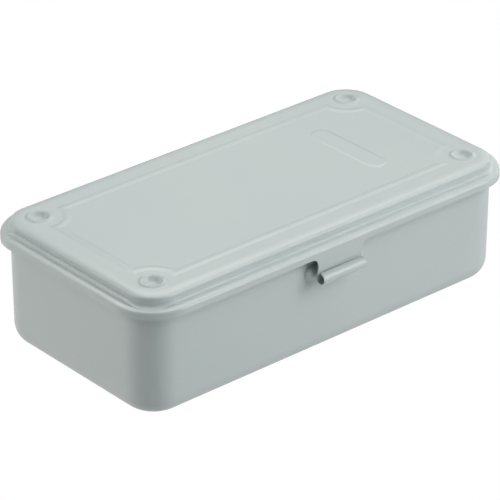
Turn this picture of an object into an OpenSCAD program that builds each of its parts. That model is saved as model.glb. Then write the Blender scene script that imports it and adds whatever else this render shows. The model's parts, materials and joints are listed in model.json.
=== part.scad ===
// Small pressed-steel tool box: a drawn body with a rolled rim, and a lid with a
// stepped rim, a low raised bead that frames the top, four stacking rings and a
// curled finger tab, hung on two strap hinges at the back.
// Frame: origin at the middle of the underside, +Z up, +X along the length,
// the finger tab faces -Y and the hinges are at +Y. Millimetres.

/* [Box] */
// Length over the lid's skirt
rim_len = 203; // [190:1:230]
// Depth over the lid's skirt, without the finger tab and the hinges
rim_dep = 107; // [100:1:125]
// Height from the underside to the flat top of the lid
box_h = 55.8; // [52:0.1:68]
// Sheet thickness
sheet = 0.6; // [0.5:0.05:0.7]

/* [Lid] */
// Corner radius of the skirt
lid_r = 20; // [18.5:0.5:21]
// Height of the bead that frames the top
bead_h = 0.3; // [0.25:0.05:0.5]
// Width of the bead
bead_w = 4; // [3.4:0.1:4.4]
// Height of the blank raised panel at the right
pad_h = 0.3; // [0.2:0.1:0.5]

/* [Finger tab] */
// Width of the tab
tab_w = 24; // [20:1:32]
// Radius of the fillets beside the tab
tab_fil = 3.3; // [2.5:0.1:4]

/* [Hinges] */
// Distance of each hinge from the middle
hinge_x = 58; // [45:1:62]
// Width of each hinge
hinge_w = 24; // [22:1:28]
// Radius of the hinge pin
pin_r = 1.35; // [1.2:0.05:1.4]

/* [Part] */
// Sub-part to draw

/* [Hidden] */
$fn = 64;
paint = [0.73, 0.77, 0.77];
bare = [0.62, 0.63, 0.64];

hx = rim_len / 2;            // half length of the lid
hy = rim_dep / 2;            // half depth of the lid

// lid levels, measured down from the flat top
z_top = box_h;
z_led1 = z_top - 2.95;       // ledge at the foot of the raised wall
z_led2 = z_top - 4.4;        // rim of the lid, at the foot of the step
z_skirt = z_top - 8.0;       // lower edge of the skirt
wall_i = 5.4;                // raised wall, in from the skirt
roll_a = 5.5;                // soft edge round the top: how far it reaches in
roll_b = 1.5;                // and how far it drops

// body
body_hx = hx - 4.3;          // half length of the body at the rim
body_hy = hy - 4.8;          // half depth of the body at the rim
body_r = 15.1;               // corner radius at the rim
draft = 0.35;                // the walls lean in by this much at the bottom
bot_r = 8.6;                 // radius round the bottom edge
curl_r = 1.7;                // outer radius of the rolled rim
z_curl = z_led2 - sheet - 0.3 - curl_r;   // centre of the rolled rim
slope = draft / z_curl;
bump_r = 3.75;               // radius of the long bump on the front wall
bump_in = 0.8;               // its axis, in from the wall's outer face

// rings on the lid and the bead round the top
ring_x = hx - 17.3;
ring_y = hy - 17.6;
ring_r = 6;
arc_r = 11.4;                // the bead turns round each ring at this radius

// finger tab, in the plane across the box
tab_y = -hy;                 // outer face of the plate
tab_z = z_top - 16.95;       // centre of the curl
tab_c = tab_y - 1.25;
tab_o = 2.05;                // outer radius of the curl

// hinge axis
eye_o = pin_r + 0.05 + 0.8;  // outer radius of the eyes
ax_y = hy + eye_o;
ax_z = z_top - 9.4;
leaf_t = 0.8;                // thickness of the leaves
mid_w = hinge_w * 0.42;      // width of the middle eye
gap = 0.4;                   // side play between the eyes

function arc(cx, cy, r, a0, a1, n) =
    [for (i = [0:n]) [cx + r * cos(a0 + (a1 - a0) * i / n), cy + r * sin(a0 + (a1 - a0) * i / n)]];

// Carries a profile round a rectangle with round corners. The profile's x is
// the distance out from the corner's centre and its y is the height.
module around(half_x, half_y, r) {
    cx = half_x - r;
    cy = half_y - r;
    for (s = [[1, 1, 0], [-1, 1, 90], [-1, -1, 180], [1, -1, 270]])
        translate([s[0] * cx, s[1] * cy, 0]) rotate([0, 0, s[2]])
            rotate_extrude(angle = 90) children();
    for (a = [0, 180])
        rotate([0, 0, a]) translate([-cx, cy, 0]) rotate([90, 0, 90])
            linear_extrude(height = 2 * cx) children();
    for (a = [90, 270])
        rotate([0, 0, a]) translate([-cy, cx, 0]) rotate([90, 0, 90])
            linear_extrude(height = 2 * cy) children();
}

// A profile in the plane across the box, carried along X between two limits
module along(x0, x1) {
    translate([x0, 0, 0]) rotate([90, 0, 90]) linear_extrude(height = x1 - x0) children();
}

module body_profile() {
    t = sheet;
    rb = body_r - draft;          // outer wall at the underside
    // inside of the rolled rim follows the inner face of the wall
    cu = body_r - t + curl_r;
    ci = curl_r - t;
    polygon(concat(
        [[0, 0]],
        arc(rb - bot_r, bot_r, bot_r, -90, 0, 8),
        [[body_r - 0.02, z_curl - 1.2]],
        [[cu - curl_r * 0.99 + t, z_curl]],
        arc(cu, z_curl, ci, 170, -80, 12),
        arc(cu, z_curl, curl_r, -80, 180, 14),
        arc(rb - bot_r, bot_r, bot_r - t, 0, -90, 8),
        [[0, t]]));
}

module bump_profile(r) {
    // half of a long capsule, turned about its own axis
    intersection() {
        union() {
            translate([0, -12.2]) square([r, 24.4]);
            translate([0, 12.2]) circle(r);
            translate([0, -12.2]) circle(r);
        }
        translate([0, -30]) square([30, 60]);
    }
}

// Long bump on the front wall, behind the finger tab
module bump(r) {
    translate([0, -body_hy + bump_in, z_top - 16.5]) rotate([0, 90, 0])
        rotate_extrude() bump_profile(r);
}

module body_shell() {
    color(paint) union() {
        difference() {
            union() {
                around(body_hx, body_hy, body_r) body_profile();
                translate([-(body_hx - body_r), -(body_hy - body_r), 0])
                    cube([2 * (body_hx - body_r), 2 * (body_hy - body_r), sheet]);
            }
            bump(bump_r - sheet);
        }
        difference() {
            intersection() {
                bump(bump_r);
                translate([-20, -body_hy - 10, z_top - 30]) cube([40, 10.3, 28]);
            }
            bump(bump_r - sheet);
        }
    }
}

// Quarter of an ellipse from its crown at (cx, cz + b) to (cx + a, cz)
function soft(cx, cz, a, b, t0, t1, n) =
    [for (i = [0:n]) let (t = t0 + (t1 - t0) * i / n) [cx + a * sin(t), cz + b * cos(t)]];

module lid_profile() {
    t = sheet;
    u = lid_r - wall_i;
    polygon(concat(
        [[0, z_top]],
        soft(u - roll_a, z_top - roll_b, roll_a, roll_b, 0, 90, 8),
        arc(u + 0.35, z_led1 + 0.35, 0.35, 180, 270, 2),
        arc(lid_r - 4.1, z_led1 - 0.75, 0.75, 90, 0, 4),
        arc(lid_r - 2.97, z_led2 + 0.38, 0.38, 180, 270, 2),
        arc(lid_r - 1.15, z_led2 - 1.35, 1.15, 90, 0, 5),
        [[lid_r, z_skirt], [lid_r - t, z_skirt]],
        arc(lid_r - 1.15, z_led2 - 1.35, 1.15 - t, 0, 90, 4),
        arc(lid_r - 2.97, z_led2 + 0.38, 0.38 + t, 270, 180, 2),
        arc(lid_r - 4.1, z_led1 - 0.75, 0.75 - t, 0, 90, 2),
        arc(u + 0.35, z_led1 + 0.35, 0.35 + t, 270, 180, 2),
        soft(u - roll_a, z_top - roll_b, roll_a - t, roll_b - t, 90, 0, 8),
        [[0, z_top - t]]));
}

// Outline of the bead's middle line, grown by c: a rectangle with a round bite
// at each ring
module frame_shape(c) {
    difference() {
        square([2 * (ring_x + c), 2 * (ring_y + c)], center = true);
        for (sx = [-1, 1], sy = [-1, 1])
            translate([sx * ring_x, sy * ring_y]) circle(arc_r - c);
    }
}

module bead(w, z0, h) {
    translate([0, 0, z0]) linear_extrude(height = h)
        difference() {
            frame_shape(w / 2);
            frame_shape(-w / 2);
        }
}

module ring_profile() {
    top = [[0, -1.5], [1.2, -1.42], [2.2, -1.13], [3.0, -0.62], [3.6, 0], [4.1, 0.46],
           [4.6, 0.7], [4.95, 0.58], [5.3, 0.32], [5.7, 0.08], [ring_r, 0], [ring_r + 0.3, 0]];
    n = len(top);
    polygon(concat(
        [for (p = top) [p[0], z_top + p[1]]],
        [for (i = [n - 1:-1:0]) [top[i][0], z_top + top[i][1] - sheet]]));
}

module at_rings() {
    for (sx = [-1, 1], sy = [-1, 1])
        translate([sx * ring_x, sy * ring_y, 0]) children();
}

// Blank raised panel that runs across the right part of the top
module pad(grow, z0, h) {
    translate([hx - 49.2, 0, z0]) linear_extrude(height = h)
        union() {
            square([9 + 2 * grow, 33], center = true);
            for (s = [-1, 1]) translate([0, s * 16.5]) circle(4.5 + grow);
        }
}

module tab_profile() {
    t = sheet;
    // plate, curl and free edge as one bent strip
    polygon(concat(
        [[tab_y + t, z_skirt + 0.6], [tab_y + t, z_skirt - 2.6], [tab_c + tab_o, tab_z]],
        arc(tab_c, tab_z, tab_o, -8, -260, 20),
        [[tab_y - 0.12, tab_z + tab_o + 0.12], [tab_y - 0.12, tab_z + tab_o + 0.12 - t]],
        arc(tab_c, tab_z, tab_o - t, -260, -8, 20),
        [[tab_c + tab_o - t, tab_z], [tab_y, z_skirt - 2.6], [tab_y, z_skirt + 0.6]]));
}

module tab() {
    along(-tab_w / 2, tab_w / 2) tab_profile();
    for (s = [-1, 1])
        translate([s * tab_w / 2, tab_y + sheet, z_skirt]) mirror([s < 0 ? 1 : 0, 0, 0])
            rotate([90, 0, 0]) linear_extrude(height = sheet)
                difference() {
                    translate([-0.5, -tab_fil]) square([tab_fil + 0.5, tab_fil + 0.4]);
                    translate([tab_fil, -tab_fil]) circle(tab_fil);
                }
}

module lid_shell() {
    px = hx - lid_r;
    py = hy - lid_r;
    color(paint) union() {
        difference() {
            union() {
                around(hx, hy, lid_r) lid_profile();
                translate([-px, -py, z_top - sheet]) cube([2 * px, 2 * py, sheet]);
                bead(bead_w, z_top - 0.1, 0.1 + bead_h / 2);
                bead(bead_w * 0.6, z_top - 0.1, 0.1 + bead_h);
            }
            bead(bead_w * 0.6 - sheet, z_top - sheet - 1, 1 + bead_h);
            pad(-sheet, z_top - sheet - 1, 1 + pad_h);
            at_rings() translate([0, 0, z_top - 3]) cylinder(r = ring_r, h = 6);
        }
        pad(0, z_top - 0.1, 0.1 + pad_h);
        at_rings() rotate_extrude() ring_profile();
        translate([-0.5, 0, 0]) tab();
    }
}

// Face of the rear wall at a height
function wall_y(z) = body_hy - draft + slope * z;

module body_leaf(cx) {
    z0 = ax_z - 16;
    z1 = ax_z - eye_o;
    color(paint) translate([cx, 0, 0]) union() {
        // plate on the wall
        along(-hinge_w / 2, hinge_w / 2)
            polygon([[wall_y(z0), z0], [wall_y(z0) + leaf_t, z0],
                     [wall_y(z1 - 2) + leaf_t, z1 - 2], [wall_y(z1 - 2), z1 - 2]]);
        // neck and arm out to the eye
        along(-mid_w / 2, mid_w / 2)
            polygon([[wall_y(z1 - 3), z1 - 3], [wall_y(z1 - 3) + leaf_t, z1 - 3],
                     [wall_y(z1) + leaf_t, z1 - 0.6], [wall_y(z1) + leaf_t + 0.6, z1],
                     [ax_y, z1], [ax_y, z1 + leaf_t],
                     [wall_y(z1) + 0.6, z1 + leaf_t], [wall_y(z1), z1 + 0.2]]);
        // middle eye with its stop lip
        along(-mid_w / 2, mid_w / 2) difference() {
            union() {
                translate([ax_y, ax_z]) circle(eye_o);
                translate([ax_y + 1.7, ax_z - 0.6]) square([1.7, 0.8]);
            }
            translate([ax_y, ax_z]) circle(pin_r + 0.05);
        }
    }
}

module lid_leaf(cx) {
    zb = ax_z + 2.3;
    color(paint) translate([cx, 0, 0]) union() {
        // strap on the back of the skirt
        along(-hinge_w / 2, hinge_w / 2)
            translate([hy, zb]) square([leaf_t, z_top - 6.1 - zb]);
        // outer eyes
        for (s = [-1, 1])
            along(s < 0 ? -hinge_w / 2 : mid_w / 2 + gap, s < 0 ? -mid_w / 2 - gap : hinge_w / 2)
                difference() {
                    union() {
                        translate([ax_y, ax_z]) circle(eye_o);
                        translate([hy, ax_z]) square([leaf_t, zb - ax_z + 0.5]);
                    }
                    translate([ax_y, ax_z]) circle(pin_r + 0.05);
                }
    }
}

module pin(cx) {
    l = hinge_w + 0.2;
    color(bare) translate([cx - l / 2, ax_y, ax_z]) rotate([0, 90, 0]) union() {
        cylinder(r = pin_r, h = l);
        translate([0, 0, -0.8]) cylinder(r = pin_r + 0.5, h = 0.8);
        translate([0, 0, l]) cylinder(r = pin_r + 0.5, h = 0.8);
    }
}

module hinge_left_body_leaf() { body_leaf(-hinge_x); }
module hinge_left_lid_leaf() { lid_leaf(-hinge_x); }
module hinge_left_pin() { pin(-hinge_x); }
module hinge_right_body_leaf() { body_leaf(hinge_x); }
module hinge_right_lid_leaf() { lid_leaf(hinge_x); }
module hinge_right_pin() { pin(hinge_x); }

body_shell();
lid_shell();
hinge_left_body_leaf();
hinge_left_lid_leaf();
hinge_left_pin();
hinge_right_body_leaf();
hinge_right_lid_leaf();
hinge_right_pin();
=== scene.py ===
# Small pressed-steel tool box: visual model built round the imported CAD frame.
import json
import math
import bpy
import bmesh
import numpy as np
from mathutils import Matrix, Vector


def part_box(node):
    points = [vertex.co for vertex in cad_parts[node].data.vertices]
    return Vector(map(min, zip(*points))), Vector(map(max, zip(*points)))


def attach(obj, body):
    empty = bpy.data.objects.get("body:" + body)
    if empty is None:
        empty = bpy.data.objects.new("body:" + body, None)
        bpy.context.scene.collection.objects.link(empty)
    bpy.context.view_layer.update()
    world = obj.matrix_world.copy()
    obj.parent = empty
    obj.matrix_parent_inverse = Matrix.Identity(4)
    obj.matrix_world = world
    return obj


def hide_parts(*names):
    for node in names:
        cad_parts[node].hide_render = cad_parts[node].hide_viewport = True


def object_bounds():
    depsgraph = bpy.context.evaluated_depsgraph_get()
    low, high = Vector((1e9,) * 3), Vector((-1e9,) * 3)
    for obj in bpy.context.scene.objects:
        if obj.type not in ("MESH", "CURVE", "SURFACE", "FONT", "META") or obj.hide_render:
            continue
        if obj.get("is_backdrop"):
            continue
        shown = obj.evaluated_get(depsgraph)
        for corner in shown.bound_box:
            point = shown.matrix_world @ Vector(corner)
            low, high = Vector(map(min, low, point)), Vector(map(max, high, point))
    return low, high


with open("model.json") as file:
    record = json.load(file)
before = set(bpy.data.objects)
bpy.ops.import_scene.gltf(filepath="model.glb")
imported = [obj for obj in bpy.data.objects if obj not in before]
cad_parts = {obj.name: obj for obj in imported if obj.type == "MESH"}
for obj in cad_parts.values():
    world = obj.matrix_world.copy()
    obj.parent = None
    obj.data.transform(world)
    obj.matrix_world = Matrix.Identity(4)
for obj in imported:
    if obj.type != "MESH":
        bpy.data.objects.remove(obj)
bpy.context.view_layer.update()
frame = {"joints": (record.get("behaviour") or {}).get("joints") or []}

MM = 0.001
BODY, LID = "tool_box", "lid"


def box_mm(node):
    lo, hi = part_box(node)
    return [c * 1000 for c in lo], [c * 1000 for c in hi]


# ------------------------------------------------------------------ sizes from the frame
lid_lo, lid_hi = box_mm("lid_shell")
bod_lo, bod_hi = box_mm("body_shell")
T = 0.6
HX, HY = lid_hi[0], lid_hi[1]            # half sizes over the skirt
ZT = lid_hi[2] - 0.7                     # flat top
Z1, Z2, ZS = ZT - 2.95, ZT - 4.4, ZT - 7.9  # ledge, rim, skirt's edge
RIM_DROP, FOOT_DROP = 0.5, 1.0          # rim and wall's foot hang lower round the corners
BX, BY = HX - 4.5, HY - 5.0              # half sizes of the body at the rim
R_SK, R_W, R_LEAN = 21.3, 12.1, 0.6      # corner radii: skirt, raised wall and its lean
WI = 5.4                                 # raised wall, in from the skirt
ROLL_A, ROLL_B, ROLL_R = 5.5, 1.5, 0.85  # soft edge round the top: width, drop, end radius
RX, RY = HX - 17.5, HY - 17.5            # ring centres
joint = frame["joints"][0]
AY, AZ = [c * 1000 for c in joint["pos_m"]][1:]


# ------------------------------------------------------------------ mesh tools
class Skin:
    """Collects grids of points in millimetres and welds them into one closed mesh."""

    def __init__(self):
        self.v, self.f, self.n = [], [], 0

    def patch(self, p, keep=None):
        p = np.asarray(p, float)
        a, b = p.shape[:2]
        i = self.n + np.arange(a * b).reshape(a, b)
        q = np.stack([i[:-1, :-1], i[1:, :-1], i[1:, 1:], i[:-1, 1:]], -1)
        q = q[keep] if keep is not None else q.reshape(-1, 4)
        self.v.append(p.reshape(-1, 3))
        self.f.append(q.reshape(-1, 4))
        self.n += a * b

    def build(self, name, weld=0.002):
        v = np.concatenate(self.v) * MM
        f = np.concatenate(self.f)
        me = bpy.data.meshes.new(name)
        me.from_pydata(v.tolist(), [], f.tolist())
        bm = bmesh.new()
        bm.from_mesh(me)
        bmesh.ops.remove_doubles(bm, verts=bm.verts, dist=weld * MM)
        bmesh.ops.dissolve_degenerate(bm, edges=bm.edges, dist=weld * MM * 0.5)
        loose = [x for x in bm.verts if not x.link_faces]
        bmesh.ops.delete(bm, geom=loose, context="VERTS")
        bmesh.ops.recalc_face_normals(bm, faces=bm.faces)
        for x in bm.faces:
            x.smooth = True
        open_edges = sum(1 for e in bm.edges if len(e.link_faces) != 2)
        print("SKIN", name, len(bm.verts), "verts", open_edges, "open edges")
        bm.to_mesh(me)
        bm.free()
        me.validate()
        ob = bpy.data.objects.new(name, me)
        bpy.context.scene.collection.objects.link(ob)
        return ob


def arc(cx, cy, r, a0, a1, n):
    a = np.radians(np.linspace(a0, a1, n + 1))
    return np.column_stack([cx + r * np.cos(a), cy + r * np.sin(a)])


def smooth(e0, e1, x):
    t = np.clip((x - e0) / (e1 - e0), 0, 1)
    return t * t * (3 - 2 * t)


def cuts(*spans):
    """Sorted values from (start, end, step) spans, mirrored about zero."""
    out = []
    for a, b, s in spans:
        out.append(np.linspace(a, b, max(1, int(round((b - a) / s))) + 1))
    x = np.unique(np.round(np.concatenate(out), 6))
    x = x[np.concatenate([[True], np.diff(x) > 0.02])]
    return np.unique(np.concatenate([-x, x]))


def finish_edges(ob, width=0.13, angle=48, seg=2):
    m = ob.modifiers.new("edge", "BEVEL")
    m.width = width * MM
    m.segments = seg
    m.limit_method = "ANGLE"
    m.angle_limit = math.radians(angle)
    m.use_clamp_overlap = True
    m.harden_normals = False
    w = ob.modifiers.new("normals", "WEIGHTED_NORMAL")
    w.keep_sharp = True
    w.weight = 80


def round_shell(skin, hx, hy, rfun, rows, X, Y, warp, arcs=28, front_skip=None, extra=None):
    """A drawn shell. rows = [(inset, height)] from the middle of the outside, round the
    edge and back to the middle of the inside. Each row is a round-cornered rectangle."""
    ins = np.array([r[0] for r in rows])
    z = np.array([r[1] for r in rows])
    R = np.array([max(rfun(*r), 0.0) for r in rows])
    cx, cy = hx - ins - R, hy - ins - R
    cx0, cy0 = hx - rfun(0, 0), hy - rfun(0, 0)
    n = len(rows)

    extra = np.zeros(n) if extra is None else extra

    def put(p, e, corner=0.0, keep=None):
        shape = p.shape[:2]
        skin.patch(warp(p, np.broadcast_to(e, shape), np.broadcast_to(corner, shape)), keep)

    for s in (1, -1):
        p = np.empty((n, len(X), 3))
        p[..., 0] = X[None, :] * (cx / cx0)[:, None]
        p[..., 1] = (s * (hy - ins))[:, None]
        p[..., 2] = z[:, None]
        keep = None
        if s < 0 and front_skip is not None:
            keep = np.ones((n - 1, len(X) - 1), bool)
            mid = (X[1:] + X[:-1]) / 2
            keep[front_skip[0], np.abs(mid) < front_skip[1]] = False
        put(p, extra[:, None], keep=keep)
        p = np.empty((n, len(Y), 3))
        p[..., 0] = (s * (hx - ins))[:, None]
        p[..., 1] = Y[None, :] * (cy / cy0)[:, None]
        p[..., 2] = z[:, None]
        put(p, extra[:, None])
    ph = np.radians(np.linspace(0, 90, arcs + 1))
    for sx in (1, -1):
        for sy in (1, -1):
            p = np.empty((n, arcs + 1, 3))
            p[..., 0] = sx * (cx[:, None] + R[:, None] * np.cos(ph)[None, :])
            p[..., 1] = sy * (cy[:, None] + R[:, None] * np.sin(ph)[None, :])
            p[..., 2] = z[:, None]
            put(p, extra[:, None], np.sin(2 * ph)[None, :])
    for k in (0, n - 1):
        p = np.empty((len(X), len(Y), 3))
        p[..., 0] = (X * cx[k] / cx0)[:, None]
        p[..., 1] = (Y * cy[k] / cy0)[None, :]
        p[..., 2] = z[k]
        put(p, extra[k])


def strip(skin, a, b, cols, width=None, caps=(True, True), sides=(True, True)):
    """A bent strip of sheet: a and b are the two faces' paths (y, z), cols the x
    positions, width a factor on x for each path point."""
    a, b, cols = np.asarray(a), np.asarray(b), np.asarray(cols)
    w = np.ones(len(a)) if width is None else np.asarray(width)
    mid = (cols[0] + cols[-1]) / 2 if width is None else 0.0

    def face(path):
        p = np.empty((len(path), len(cols), 3))
        p[..., 0] = mid + (cols - mid)[None, :] * w[:, None]
        p[..., 1] = path[:, 0][:, None]
        p[..., 2] = path[:, 1][:, None]
        return p

    pa, pb = face(a), face(b)
    skin.patch(pa)
    skin.patch(pb)
    for k, on in zip((0, -1), caps):
        if on:
            skin.patch(np.stack([pa[k], pb[k]]))
    for c, on in zip((0, -1), sides):
        if on:
            skin.patch(np.stack([pa[:, c], pb[:, c]]))
    return pa, pb


def lathe(skin, prof, centre, n=40):
    """Turns (x, r) about the X axis through centre (y, z)."""
    prof = np.asarray(prof)
    ph = np.radians(np.linspace(0, 360, n + 1))
    p = np.empty((len(prof), n + 1, 3))
    p[..., 0] = prof[:, 0][:, None]
    p[..., 1] = centre[0] + prof[:, 1][:, None] * np.cos(ph)[None, :]
    p[..., 2] = centre[1] + prof[:, 1][:, None] * np.sin(ph)[None, :]
    skin.patch(p)


# ------------------------------------------------------------------ lid
BEAD_W, ARC_R = 2.4, 11.4
BEAD = {"left": 0.31, "right": 0.13, "front": 0.235, "back": 0.19, "arc": 0.26}  # heights
RING_PTS = np.array([[0, -1.42], [0.9, -1.39], [1.6, -1.31], [2.3, -1.1], [2.9, -0.7], [3.35, -0.25], [3.7, 0.12], [4.1, 0.46],
                     [4.6, 0.66], [5.0, 0.52], [5.35, 0.26], [5.7, 0.08], [6.0, 0.01], [6.3, 0.0], [9, 0]])


def hermite(x, xp, yp):
    """Smooth curve through the points."""
    d = np.gradient(yp, xp)
    d[0] = 0
    d[-1] = 0
    k = np.clip(np.searchsorted(xp, x) - 1, 0, len(xp) - 2)
    h = xp[k + 1] - xp[k]
    t = np.clip((x - xp[k]) / h, 0, 1)
    return ((2 * t**3 - 3 * t**2 + 1) * yp[k] + (t**3 - 2 * t**2 + t) * h * d[k]
            + (-2 * t**3 + 3 * t**2) * yp[k + 1] + (t**3 - t**2) * h * d[k + 1])


PAD_X, PAD_L, PAD_R, PAD_H = HX - 49.2, 16.5, 4.5, 0.3


def top_relief(x, y):
    ax, ay = np.abs(x), np.abs(y)
    r = np.hypot(ax - RX, ay - RY)
    s = np.maximum(np.maximum(ax - RX, ay - RY), ARC_R - r)
    ends = np.where(x < 0, BEAD["left"], BEAD["right"])
    sides = np.where(y < 0, BEAD["front"], BEAD["back"])
    high = sides + (ends - sides) * smooth(-7, 7, (ax - RX) - (ay - RY))
    bend = smooth(-4, 0, ARC_R - r - np.maximum(ax - RX, ay - RY))
    high = high + (BEAD["arc"] - high) * bend
    g = high * (0.5 + 0.5 * np.cos(np.pi * np.clip(np.abs(s) / BEAD_W, 0, 1)))
    ring = np.where(r < 8.9, hermite(r, RING_PTS[:, 0], RING_PTS[:, 1]), 0)
    py = np.maximum(ay - PAD_L, 0)
    q = np.hypot(x - PAD_X, py) - PAD_R
    pad = PAD_H * (1 - smooth(-0.45, 0.45, q))
    return g + ring + pad


def lid_r(i, z):
    """Corner radius of the row at inset i and height z. The raised wall leans in at the
    corners, so the soft edge above it turns at a wider radius."""
    if i < WI - 0.01:
        return R_W + (WI - i) * (R_SK - R_W) / WI
    lift = np.clip((z - Z1 - 0.35) / (ZT - ROLL_B - Z1 - 0.35), 0, 1)
    return R_W - (i - WI) + R_LEAN * lift * smooth(WI + ROLL_A, WI, i)


def corner_drop(inset, z, inside):
    """How far a row hangs lower in the middle of a corner. There the step is one hollow
    curve from the raised wall down to the rim."""
    if z > ZT - ROLL_B - 0.1:
        return 0.0
    t = T if inside else 0.0
    if inset <= 2.9:
        return RIM_DROP
    if inset > WI + t - 0.001:
        return FOOT_DROP * min((ZT - ROLL_B - 0.1 - z) / 1.0, 1.0)
    foot = Z1 + 0.35 - FOOT_DROP
    k = math.sqrt(max(1 - (max(inset - 2.9, 0) / (WI + t - 2.9)) ** 1.7, 0))
    return z - (foot - (foot - Z2 + RIM_DROP + t) * k)


def lid_warp(p, low, corner):
    flat = (np.abs(p[..., 2] - ZT) < 0.002) | (np.abs(p[..., 2] - (ZT - T)) < 0.002)
    p = p.copy()
    x, y, z = p[..., 0], p[..., 1], p[..., 2]
    p[..., 2] = z + np.where(flat, top_relief(x, y), 0) - low * smooth(0, 0.95, corner)
    return p


def flip(pts):
    """(distance out, height) to (inset, height)"""
    return [(-a, b) for a, b in pts]


def soft_edge(gap, n1=18, n2=10):
    """The wide, soft fall from the flat top, closed by a tighter round into the raised
    wall; gap is the distance inside the sheet's outer face."""
    t1 = math.radians(70)
    th = 0.5
    for _ in range(30):
        ea = (ROLL_A - ROLL_R * (1 - math.sin(th))) / math.sin(t1)
        eb = (ROLL_B - ROLL_R * math.cos(th)) / (1 - math.cos(t1))
        th = math.atan(eb * math.tan(t1) / ea)
    t = np.concatenate([np.linspace(0, t1, n1), np.full(n2, t1)])
    u = ea * np.sin(t)
    z = eb * (np.cos(t) - 1)
    a_ = np.concatenate([np.arctan(eb * np.tan(t[:n1]) / ea), np.linspace(th, math.pi / 2, n2 + 1)[1:]])
    u[n1:] = ROLL_A - ROLL_R * (1 - np.sin(a_[n1:]))
    z[n1:] = -ROLL_B + ROLL_R * np.cos(a_[n1:])
    u = u - gap * np.sin(a_)
    z = z - gap * np.cos(a_)
    return list(zip(WI + ROLL_A - u, ZT + z))


flat_i = list(np.linspace(WI + R_W, WI + ROLL_A + 0.02, 34))
outer = [(i, ZT) for i in flat_i[:-1]]
outer += soft_edge(0)
outer += [(WI, ZT - ROLL_B - 0.35), (WI, Z1 + 0.6)]
outer += flip(arc(-(WI - 0.35), Z1 + 0.35, 0.35, 180, 268, 5))
outer += [(4.75, Z1 - 0.005), (4.45, Z1 - 0.01), (4.15, Z1 - 0.015)] + flip(arc(-3.85, Z1 - 0.52, 0.5, 88, 0, 8))
outer += flip(arc(-3.05, Z2 + 0.3, 0.3, 180, 264, 5))
rim_out = [(2.7, Z2 - 0.03), (2.2, Z2 - 0.07), (1.7, Z2 - 0.13)]
outer += rim_out + flip(arc(-1.15, Z2 - 1.35, 1.15, 80, 0, 10))
outer += [(0, ZS + 1.2), (0, ZS + 0.5), (0, ZS)]
inner = [(T, ZS), (T, ZS + 0.5), (T, ZS + 1.2)]
inner += flip(arc(-1.15, Z2 - 1.35, 0.55, 0, 80, 6))
inner += [(i + 0.05, z - T) for i, z in rim_out[::-1]]
inner += flip(arc(-3.05, Z2 + 0.3, 0.3 + T, 264, 180, 5))
inner += flip(arc(-4.0, Z1 - 0.67, 0.05, 0, 88, 2)) + [(4.4, Z1 - T), (4.8, Z1 - T)]
inner += flip(arc(-(WI - 0.35), Z1 + 0.35, 0.35 + T, 268, 180, 5))
inner += [(WI + T, ZT - ROLL_B - 0.25)]
inner += soft_edge(T)[::-1]
inner += [(i, ZT - T) for i in flat_i[:-1][::-1]]
rows = outer + inner
KE = len(outer) - 1

TAB_W, TAB_F, TAB_IN = 12.35, 3.4, 1.05
fil = TAB_W + TAB_F - TAB_F * np.cos(np.radians(np.linspace(0, 90, 9)))
sc_x = (HX - R_SK) / RX
sc_y = (HY - R_SK) / RY
X = cuts((0, TAB_W, 1.05), (18, 40, 2.2), (40, 45 * 1, 1.0), (45, 60, 0.42), (60, 66, 0.8), (66, (RX - 7) * sc_x, 0.34),
         ((RX - 7) * sc_x, RX * sc_x, 0.25))
X = np.unique(np.round(np.concatenate([X, fil, -fil, [17, -17]]), 6))
Y = cuts((0, 17, 1.1), (17, (RY - 7) * sc_y, 0.34), ((RY - 7) * sc_y, RY * sc_y, 0.25))

lid = Skin()
low = np.array([corner_drop(i, z, k > KE) for k, (i, z) in enumerate(rows)])
round_shell(lid, HX, HY, lid_r, rows, X, Y, lid_warp, arcs=30, front_skip=(KE, TAB_W + TAB_F), extra=low)

# finger tab, one sheet with the skirt
s_in = (HX - T - lid_r(T, 0)) / (HX - R_SK)
zone = X[(np.abs(X) <= TAB_W + TAB_F + 1e-6)]
ax = np.abs(zone)
zb = ZS - TAB_F + np.sqrt(np.maximum(TAB_F**2 - np.minimum(TAB_W + TAB_F - ax, TAB_F) ** 2, 0))
zb = np.where(ax <= TAB_W + 1e-6, ZS - TAB_F, zb)
t4 = np.linspace(0, 1, 6)
faces = []
for y, s in ((-HY, 1.0), (-(HY - T), s_in)):
    p = np.empty((6, len(zone), 3))
    p[..., 0] = (zone * s)[None, :]
    p[..., 1] = y
    p[..., 2] = ZS + (zb - ZS)[None, :] * t4[:, None]
    lid.patch(p)
    faces.append(p)
for side in (-1, 1):
    m = (side * zone >= TAB_W - 1e-6)
    lid.patch(np.stack([faces[0][-1][m], faces[1][-1][m]]))

TC, TO, TZ = -HY - 1.0, 2.3, ZT - 17.2
tabx = zone[ax <= TAB_W + 1e-6]
z0 = ZS - TAB_F
zz = np.linspace(z0, TZ, 9)
lean = (TC + TO + HY - T) * smooth(z0, TZ, zz)
back = np.column_stack([-HY + T + lean, zz])
front = np.column_stack([-HY + lean, zz])
end_a = 106
back = np.vstack([back, arc(TC, TZ, TO, 0, -(360 - end_a), 34)[1:]])
th = T - 0.18 * smooth(0, 8, np.arange(1, 35))[:, None]
front = np.vstack([front, [TC, TZ] + (arc(TC, TZ, 1, 0, -(360 - end_a), 34)[1:] - [TC, TZ]) * (TO - th)])
e = back[-1]
tip = np.array([-HY + 0.04, TZ + TO + 0.02])
k = np.linspace(0, 1, 8)[1:, None]
up = np.hstack([np.zeros_like(k), 0.10 * np.sin(np.pi * k)])
back = np.vstack([back, e + (tip - e) * k + up])
f0 = front[-1]
front = np.vstack([front, f0 + (tip - [0, th[-1, 0]] - f0) * k + up])
npl, narc, nend = len(zz), 34, 7
wid = np.concatenate([np.ones(npl), np.linspace(1, 0.975, narc), np.linspace(0.972, 0.965, nend)])
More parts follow.
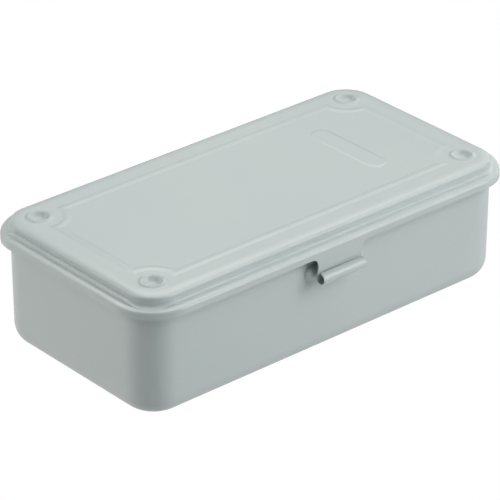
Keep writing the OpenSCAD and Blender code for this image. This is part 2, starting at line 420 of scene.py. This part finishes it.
tail = np.concatenate([np.zeros(npl + narc - 8), np.linspace(0, 1, nend + 8)])
wid = wid * TAB_W - 0.7 * (1 - np.sqrt(1 - tail**2 * 0.98))
wid = wid / TAB_W
p_b = np.empty((len(back), len(tabx), 3))
p_f = np.empty_like(p_b)
mixs = np.linspace(s_in, 1, npl)
sb = np.concatenate([mixs, np.ones(len(back) - npl)])
for p, path, s in ((p_b, back, sb), (p_f, front, np.ones(len(back)))):
    p[..., 0] = tabx[None, :] * (wid * s)[:, None]
    p[..., 1] = path[:, 0][:, None]
    p[..., 2] = path[:, 1][:, None]
    lid.patch(p)
lid.patch(np.stack([p_b[-1], p_f[-1]]))
for c in (0, -1):
    lid.patch(np.stack([p_b[:, c], p_f[:, c]]))
# the tab sits a little left of the middle: its right end is drawn in
for q in lid.v:
    x = q[:, 0]
    pull = np.interp(x, [0, TAB_W, TAB_W + TAB_F, 24], [0, TAB_IN, TAB_IN, 0])
    q[:, 0] = x - np.where(q[:, 1] < -(HY - 1.0), pull, 0)
lid_ob = lid.build("lid_sheet")
finish_edges(lid_ob)

# ------------------------------------------------------------------ body
B_R, DRAFT, B_B, C_R = 15.1, 0.35, 8.6, 1.7
ZC = Z2 - T - 0.3 - C_R


def body_r(i, z):
    return B_R - i


def bump_h(x, z):
    """Long rounded bump behind the finger tab."""
    r = np.hypot(np.maximum(np.abs(x) - 12.2, 0), z - (ZT - 16.5)) / 3.6
    return 2.3 * np.maximum(1 - r**2.2, 0) ** 0.62


def body_warp(p, _, corner):
    m = (p[..., 1] < -(BY - 1.6)) & (p[..., 2] > 20) & (p[..., 2] < ZC - 0.6) & (np.abs(p[..., 0]) < 24)
    p = p.copy()
    p[..., 1] -= np.where(m, bump_h(p[..., 0], p[..., 2]), 0)
    p[..., 2] -= RIM_DROP * smooth(0, 0.85, corner) * smooth(ZC - 7, ZC - 1.7, p[..., 2])
    return p


def wall(z):
    return DRAFT * (1 - z / ZC)


bi = DRAFT + B_B
zw = list(np.concatenate([np.linspace(B_B, ZT - 21, 20)[:-1], np.linspace(ZT - 21, ZT - 12, 37), np.linspace(ZT - 12, ZC, 9)[1:]]))
outer = [(i, 0.0) for i in np.linspace(B_R - 0.001, bi, 6)[:-1]]
outer += flip(arc(-bi, B_B, B_B, -90, 0, 14))[:-1]
outer += [(wall(z), z) for z in zw]
cc = -T + C_R
outer += flip(arc(cc, ZC, C_R - T, 180, -78, 18))[1:]
inner = flip(arc(cc, ZC, C_R, -78, 180, 26))
inner += [(wall(z) + T, z) for z in zw[::-1][1:]]
inner += flip(arc(-bi, B_B, B_B - T, 0, -90, 12))[1:]
inner += [(i, T) for i in np.linspace(B_R - 0.001, bi, 6)[:-1][::-1]]
bX = cuts((0, 11.2, 1.4), (11.2, 16.8, 0.25), (16.8, BX - B_R, 3.0))
bY = cuts((0, BY - B_R, 3.0))
body = Skin()
round_shell(body, BX, BY, body_r, outer + inner, bX, bY, body_warp, arcs=22)
body_ob = body.build("body_sheet")
finish_edges(body_ob)

# ------------------------------------------------------------------ hinges
LT = 0.8
PR = 1.35
EO, EI = PR + 0.05 + LT, PR + 0.05


def wall_y(z):
    return BY - wall(z)


def dimples(p, spots, depth, normal):
    """Spot-weld dimples pressed into a face."""
    for sx, sz in spots:
        r = np.hypot(p[..., 0] - sx, (p[..., 2] if normal[1] else p[..., 1]) - sz)
        d = depth * (1 - smooth(0.9, 1.7, r)) - 0.05 * np.exp(-((r - 1.95) / 0.25) ** 2)
        for k in range(3):
            p[..., k] += normal[k] * d
    return p


hinges = []
for side, name in ((-1, "left"), (1, "right")):
    lo, hi = box_mm(f"hinge_{name}_lid_leaf")
    cx, hw = (lo[0] + hi[0]) / 2, (hi[0] - lo[0]) / 2
    mw, gap = hw * 2 * 0.42 / 2, 0.4
    # body leaf: plate on the wall, neck, arm and rolled middle eye
    blo, bhi = box_mm(f"hinge_{name}_body_leaf")
    z0, z1 = blo[2], AZ - EO
    zp = np.linspace(z0, z1 - 1.3, 40)
    pl = np.column_stack([wall_y(zp) + LT, zp])
    # outer face of the sheet: up the wall, round the bend, out under the pin, round the eye
    face = np.vstack([pl, [[pl[-1, 0] + 0.02, z1 - 0.7]], arc(pl[-1, 0] + 0.55, z1 - 0.55, 0.55, 178, 90, 6)])
    out_end = np.array([[AY - 1.2, z1], [AY - 0.5, z1]])
    ring = arc(AY, AZ, EO, -90, 180 + 25, 40)
    a = np.vstack([face, out_end, ring])
    inner_ring = arc(AY, AZ, EI, -90, 180 + 25, 40)
    b_pl = np.column_stack([wall_y(zp), zp])
    b_bend = np.vstack([[[b_pl[-1, 0] + 0.02, z1 - 0.7]], arc(b_pl[-1, 0] + 1.35, z1 - 0.55, 1.35, 178, 90, 6)])
    b = np.vstack([b_pl, b_bend, [[AY - 1.2, z1 + LT], [AY - 0.5, z1 + LT]], inner_ring])
    n_pl = len(zp)
    wfac = np.ones(len(a))
    wfac[n_pl:] = mw / hw
    zs_ = z1 - 3.0
    # shoulder with a small inner radius
    for j in range(len(zp)):
        d = zp[j] - zs_
        if d > 0:
            wfac[j] = (mw + 0.8 * max(0, 1 - d / 0.8) ** 2) / hw
    sk = Skin()
    cols = np.linspace(-hw, hw, 61)
    pa = np.empty((len(a), len(cols), 3))
    pb = np.empty_like(pa)
    for p, path in ((pa, a), (pb, b)):
        p[..., 0] = cx + cols[None, :] * wfac[:, None]
        p[..., 1] = path[:, 0][:, None]
        p[..., 2] = path[:, 1][:, None]
    # round the two lower corners of the plate
    rc = 2.2
    zrel = pa[..., 2] - z0
    shrink = np.where(zrel < rc, rc - np.sqrt(np.maximum(rc**2 - (rc - zrel) ** 2, 0)), 0)
    for p in (pa, pb):
        p[..., 0] = cx + (p[..., 0] - cx) * (1 - np.where(np.arange(len(a))[:, None] < n_pl, shrink, 0) / hw)
    spots = [(cx - 8, z0 + 4.2), (cx, z0 + 4.2), (cx + 8, z0 + 4.2), (cx - 8, z0 + 9.0), (cx + 8, z0 + 9.0)]
    m = np.arange(n_pl)
    pa[m] = dimples(pa[m], spots, 0.22, (0, -1, 0))
    sk.patch(pa)
    sk.patch(pb)
    for k in (0, -1):
        sk.patch(np.stack([pa[k], pb[k]]))
    for c in (0, -1):
        sk.patch(np.stack([pa[:, c], pb[:, c]]))
    # stop lip on the back of the eye
    xs = np.linspace(-mw + 0.4, mw - 0.4, 9) + cx
    top = np.array([[AY + 1.75, AZ + 0.2], [AY + 2.6, AZ + 0.2], [AY + 3.35, AZ + 0.2]])
    bot = top - [0, LT]
    strip(sk, top, bot, xs)
    ob = sk.build(f"hinge_{name}_body_leaf_sheet")
    finish_edges(ob, 0.12)
    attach(ob, BODY)
    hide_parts(f"hinge_{name}_body_leaf")
    hinges.append(ob)

    # lid leaf: a strap on the back of the skirt and two rolled outer eyes
    zb_ = AZ + 2.3
    zpl = np.linspace(ZT - 6.1, zb_, 8)
    up_o = np.column_stack([np.full(8, HY + LT), zpl])
    up_i = np.column_stack([np.full(8, HY), zpl])
    inb = mw + gap
    cols = np.unique(np.round(np.concatenate([np.linspace(-hw, -inb, 17), np.linspace(-inb, inb, 31), np.linspace(inb, hw, 17)]), 6))
    sk = Skin()

    def face(path, cs):
        p = np.empty((len(path), len(cs), 3))
        p[..., 0] = cx + cs[None, :]
        p[..., 1] = path[:, 0][:, None]
        p[..., 2] = path[:, 1][:, None]
        return p

    po, pi_ = face(up_o, cols), face(up_i, cols)
    sk.patch(po)
    sk.patch(pi_)
    sk.patch(np.stack([po[0], pi_[0]]))
    for c in (0, -1):
        sk.patch(np.stack([po[:, c], pi_[:, c]]))
    mid = np.abs(cols) <= inb + 1e-6
    sk.patch(np.stack([po[-1][mid], pi_[-1][mid]]))
    dn = np.linspace(zb_, AZ, 6)
    # the sheet comes down the back of the skirt, passes under the pin and closes the eye
    e_o = np.vstack([np.column_stack([np.full(6, HY), dn]), arc(AY, AZ, EO, 180, 180 + 322, 44)[1:]])
    e_i = np.vstack([np.column_stack([np.full(6, HY + LT), dn]), arc(AY, AZ, EI, 180, 180 + 322, 44)[1:]])
    for s in (-1, 1):
        cs = cols[(s * cols >= inb - 1e-6)]
        qo, qi = face(e_o, cs), face(e_i, cs)
        sk.patch(qo)
        sk.patch(qi)
        sk.patch(np.stack([qo[-1], qi[-1]]))
        for c in (0, -1):
            sk.patch(np.stack([qo[:, c], qi[:, c]]))
    ob = sk.build(f"hinge_{name}_lid_leaf_sheet")
    finish_edges(ob, 0.12)
    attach(ob, LID)
    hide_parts(f"hinge_{name}_lid_leaf")
    hinges.append(ob)

    # pin with two domed heads
    plo, phi = box_mm(f"hinge_{name}_pin")
    L = (phi[0] - plo[0]) / 2
    hr = PR + 0.5
    dome = [(L - 0.8 + 0.8 * math.sin(t), hr * math.cos(t) ** 0.6) for t in np.linspace(math.pi / 2, 0, 9)]
    dome[0] = (L, 0.0)
    right = dome + [(L - 0.8, hr - 0.05), (L - 0.8, PR), (L - 1.6, PR), (0, PR)]
    prof = [(cx + x, r) for x, r in right] + [(cx - x, r) for x, r in right[::-1][1:]]
    sk = Skin()
    lathe(sk, prof, (AY, AZ))
    ob = sk.build(f"hinge_{name}_pin_turned")
    finish_edges(ob, 0.06, 60)
    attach(ob, BODY)
    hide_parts(f"hinge_{name}_pin")
    hinges.append(ob)

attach(lid_ob, LID)
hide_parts("lid_shell")
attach(body_ob, BODY)
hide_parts("body_shell")


# ------------------------------------------------------------------ materials
def nodes_of(name):
    m = bpy.data.materials.new(name)
    m.use_nodes = True
    nt = m.node_tree
    nt.nodes.clear()
    return m, nt, lambda kind, **kw: make(nt, kind, **kw)


def make(nt, kind, **kw):
    n = nt.nodes.new(kind)
    for k, v in kw.items():
        if k.startswith("in_"):
            key = k[3:]
            key = int(key) if key.isdigit() else key.replace("_", " ")
            n.inputs[key].default_value = v
        else:
            setattr(n, k, v)
    return n


def paint_material(name, c1, c2, rough):
    m, nt, N = nodes_of(name)
    L = nt.links.new
    out = N("ShaderNodeOutputMaterial")
    bs = N("ShaderNodeBsdfPrincipled")
    bs.inputs["IOR"].default_value = 1.5
    tc = N("ShaderNodeTexCoord")
    # broad, very soft tint drift of the sprayed coat
    n1 = N("ShaderNodeTexNoise", in_Scale=14.0, in_Detail=2.0, in_Roughness=0.5)
    r1 = N("ShaderNodeMapRange", in_1=0.3, in_2=0.7)
    mix = N("ShaderNodeMix", data_type="RGBA")
    mix.inputs[6].default_value = (*c1, 1)
    mix.inputs[7].default_value = (*c2, 1)
    L(tc.outputs["Object"], n1.inputs["Vector"])
    L(n1.outputs["Fac"], r1.inputs[0])
    L(r1.outputs[0], mix.inputs[0])
    # fine speckle of the pigment
    n2 = N("ShaderNodeTexNoise", in_Scale=2600.0, in_Detail=1.0)
    r2 = N("ShaderNodeMapRange", in_1=0.2, in_2=0.8, in_3=0.975, in_4=1.02)
    mul = N("ShaderNodeMix", data_type="RGBA", blend_type="MULTIPLY")
    mul.inputs[0].default_value = 1.0
    L(tc.outputs["Object"], n2.inputs["Vector"])
    L(n2.outputs["Fac"], r2.inputs[0])
    L(mix.outputs[2], mul.inputs[6])
    L(r2.outputs[0], mul.inputs[7])
    L(mul.outputs[2], bs.inputs["Base Color"])
    # satin sheen that wanders a little, with faint handling marks
    n3 = N("ShaderNodeTexNoise", in_Scale=38.0, in_Detail=5.0, in_Roughness=0.62)
    r3 = N("ShaderNodeMapRange", in_1=0.25, in_2=0.75, in_3=rough - 0.035, in_4=rough + 0.045)
    L(tc.outputs["Object"], n3.inputs["Vector"])
    L(n3.outputs["Fac"], r3.inputs[0])
    L(r3.outputs[0], bs.inputs["Roughness"])
    # orange peel of the enamel, coarse and fine
    n4 = N("ShaderNodeTexNoise", in_Scale=950.0, in_Detail=2.0, in_Roughness=0.45)
    n5 = N("ShaderNodeTexNoise", in_Scale=210.0, in_Detail=2.0, in_Roughness=0.5)
    b1 = N("ShaderNodeBump", in_Strength=0.05, in_Distance=0.00005)
    b2 = N("ShaderNodeBump", in_Strength=0.10, in_Distance=0.0001)
    L(tc.outputs["Object"], n4.inputs["Vector"])
    L(tc.outputs["Object"], n5.inputs["Vector"])
    L(n4.outputs["Fac"], b1.inputs["Height"])
    L(n5.outputs["Fac"], b2.inputs["Height"])
    L(b2.outputs[0], b1.inputs["Normal"])
    L(b1.outputs[0], bs.inputs["Normal"])
    L(bs.outputs[0], out.inputs[0])
    return m


def steel_material(name):
    m, nt, N = nodes_of(name)
    L = nt.links.new
    out = N("ShaderNodeOutputMaterial")
    bs = N("ShaderNodeBsdfPrincipled")
    bs.inputs["Metallic"].default_value = 1.0
    tc = N("ShaderNodeTexCoord")
    n1 = N("ShaderNodeTexNoise", in_Scale=900.0, in_Detail=3.0)
    ramp = N("ShaderNodeMix", data_type="RGBA")
    ramp.inputs[6].default_value = (0.50, 0.50, 0.49, 1)
    ramp.inputs[7].default_value = (0.62, 0.62, 0.61, 1)
    L(tc.outputs["Object"], n1.inputs["Vector"])
    L(n1.outputs["Fac"], ramp.inputs[0])
    L(ramp.outputs[2], bs.inputs["Base Color"])
    mp = N("ShaderNodeMapping")
    mp.inputs["Scale"].default_value = (6000, 300, 300)
    n2 = N("ShaderNodeTexNoise", in_Scale=1.0, in_Detail=3.0)
    r2 = N("ShaderNodeMapRange", in_1=0.3, in_2=0.7, in_3=0.26, in_4=0.42)
    bp = N("ShaderNodeBump", in_Strength=0.2, in_Distance=0.00004)
    L(tc.outputs["Object"], mp.inputs[0])
    L(mp.outputs[0], n2.inputs["Vector"])
    L(n2.outputs["Fac"], r2.inputs[0])
    L(r2.outputs[0], bs.inputs["Roughness"])
    L(n2.outputs["Fac"], bp.inputs["Height"])
    L(bp.outputs[0], bs.inputs["Normal"])
    L(bs.outputs[0], out.inputs[0])
    return m


paint = paint_material("enamel", (0.510, 0.580, 0.575), (0.535, 0.600, 0.590), 0.225)
steel = steel_material("pin_steel_drawn")
for ob in [lid_ob, body_ob] + hinges:
    ob.data.materials.clear()
    ob.data.materials.append(steel if "pin" in ob.name else paint)

# ------------------------------------------------------------------ stage
scene = bpy.context.scene
scene.view_settings.view_transform = "Standard"
scene.view_settings.look = "None"
world = bpy.data.worlds.new("studio")
scene.world = world
world.use_nodes = True
bg = world.node_tree.nodes["Background"]
bg.inputs["Color"].default_value = (0.93, 1.01, 1.05, 1)
bg.inputs["Strength"].default_value = 0.063


def plane(name, z, material):
    me = bpy.data.meshes.new(name)
    me.from_pydata([(-6, -6, 0), (6, -6, 0), (6, 6, 0), (-6, 6, 0)], [], [(0, 1, 2, 3)])
    me.materials.append(material)
    o = bpy.data.objects.new(name, me)
    scene.collection.objects.link(o)
    o.location.z = z
    o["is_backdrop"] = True
    return o


def glow(name, strength):
    """Even white light given off by a surface."""
    m, nt, N = nodes_of(name)
    out = N("ShaderNodeOutputMaterial")
    em = N("ShaderNodeEmission")
    em.inputs["Color"].default_value = (1, 1, 1, 1)
    em.inputs["Strength"].default_value = strength
    nt.links.new(em.outputs[0], out.inputs[0])
    return m


# the pale sweep seen behind the box, and the light it throws back up
floor = plane("floor", -0.0002, glow("sweep_white", 1.0))
me = bpy.data.meshes.new("sweep_back")
turn = np.linspace(0, 2 * math.pi, 97)[:-1]
ring_pts = [(5.9 * math.cos(t), 5.9 * math.sin(t), z) for z in (-0.0002, 5.9) for t in turn]
me.from_pydata(ring_pts, [], [(i, (i + 1) % 96, 96 + (i + 1) % 96, 96 + i) for i in range(96)])
me.materials.append(floor.data.materials[0])
sweep_back = bpy.data.objects.new("sweep_back", me)
scene.collection.objects.link(sweep_back)
sweep_back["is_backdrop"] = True
for o in (floor, sweep_back):
    o.visible_diffuse = False
    o.visible_glossy = False
    o.visible_shadow = False
bounce = plane("floor_bounce", -0.0001, glow("sweep_bounce", 0.58))
bounce.visible_camera = False


def area(name, az, el, dist, size, power, target=(0, 0, 0.03), color=(1, 1, 1), sy=None):
    d = bpy.data.lights.new(name, "AREA")
    d.shape = "RECTANGLE"
    d.size = size
    d.size_y = sy or size
    d.energy = power
    d.color = color
    o = bpy.data.objects.new(name, d)
    a, e = math.radians(az), math.radians(el)
    back = Vector((math.sin(a) * math.cos(e), -math.cos(a) * math.cos(e), math.sin(e)))
    o.location = Vector(target) + back * dist
    o.rotation_euler = back.to_track_quat("Z", "Y").to_euler()
    scene.collection.objects.link(o)
    return o


# softboxes: azimuth, elevation, power, tint
WHITE = (1, 1, 1)
for az, el, power, tint in ((34, 35, 8.9, WHITE), (34, 12, 4.75, WHITE), (-129, 35, 5.42, (0.96, 1.0, 1.04)),
                            (-129, 12, 5.6, (1.15, 0.98, 0.88)), (130, 58, 4.81, (1.07, 0.99, 0.94)),
                            (130, 35, 0.98, WHITE), (155, 35, 0.56, WHITE), (105, 12, 1.94, WHITE), (0, 88, 2.5, WHITE)):
    box = area(f"soft_{az}_{el}".replace("-", "m"), az, el, 1.3, 0.9, power, color=tint)
    box.visible_glossy = az != -129  # no glare on the lid from the other side

# ------------------------------------------------------------------ camera
cam_d = bpy.data.cameras.new("camera")
cam = bpy.data.objects.new("camera", cam_d)
scene.collection.objects.link(cam)
scene.camera = cam
AZI, ELE, DIST, FPX, OX, OY = -40.9, 28.24, 1380.2, 3321.6, -1.84, -2.13 + 0.21
cam_d.sensor_width = 36
cam_d.lens = FPX / 500 * 36
a, e = math.radians(AZI), math.radians(ELE)
right = Vector((math.cos(a), math.sin(a), 0))
back_v = Vector((math.sin(a) * math.cos(e), -math.cos(a) * math.cos(e), math.sin(e)))
up_v = back_v.cross(right)
pos = Vector((0, 0, 27.92)) + right * OX + up_v * OY + back_v * DIST
cam.location = pos * MM
cam.rotation_mode = "QUATERNION"
cam.rotation_quaternion = back_v.to_track_quat("Z", "Y")
cam_d.clip_start, cam_d.clip_end = 0.05, 30

lo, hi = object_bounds()
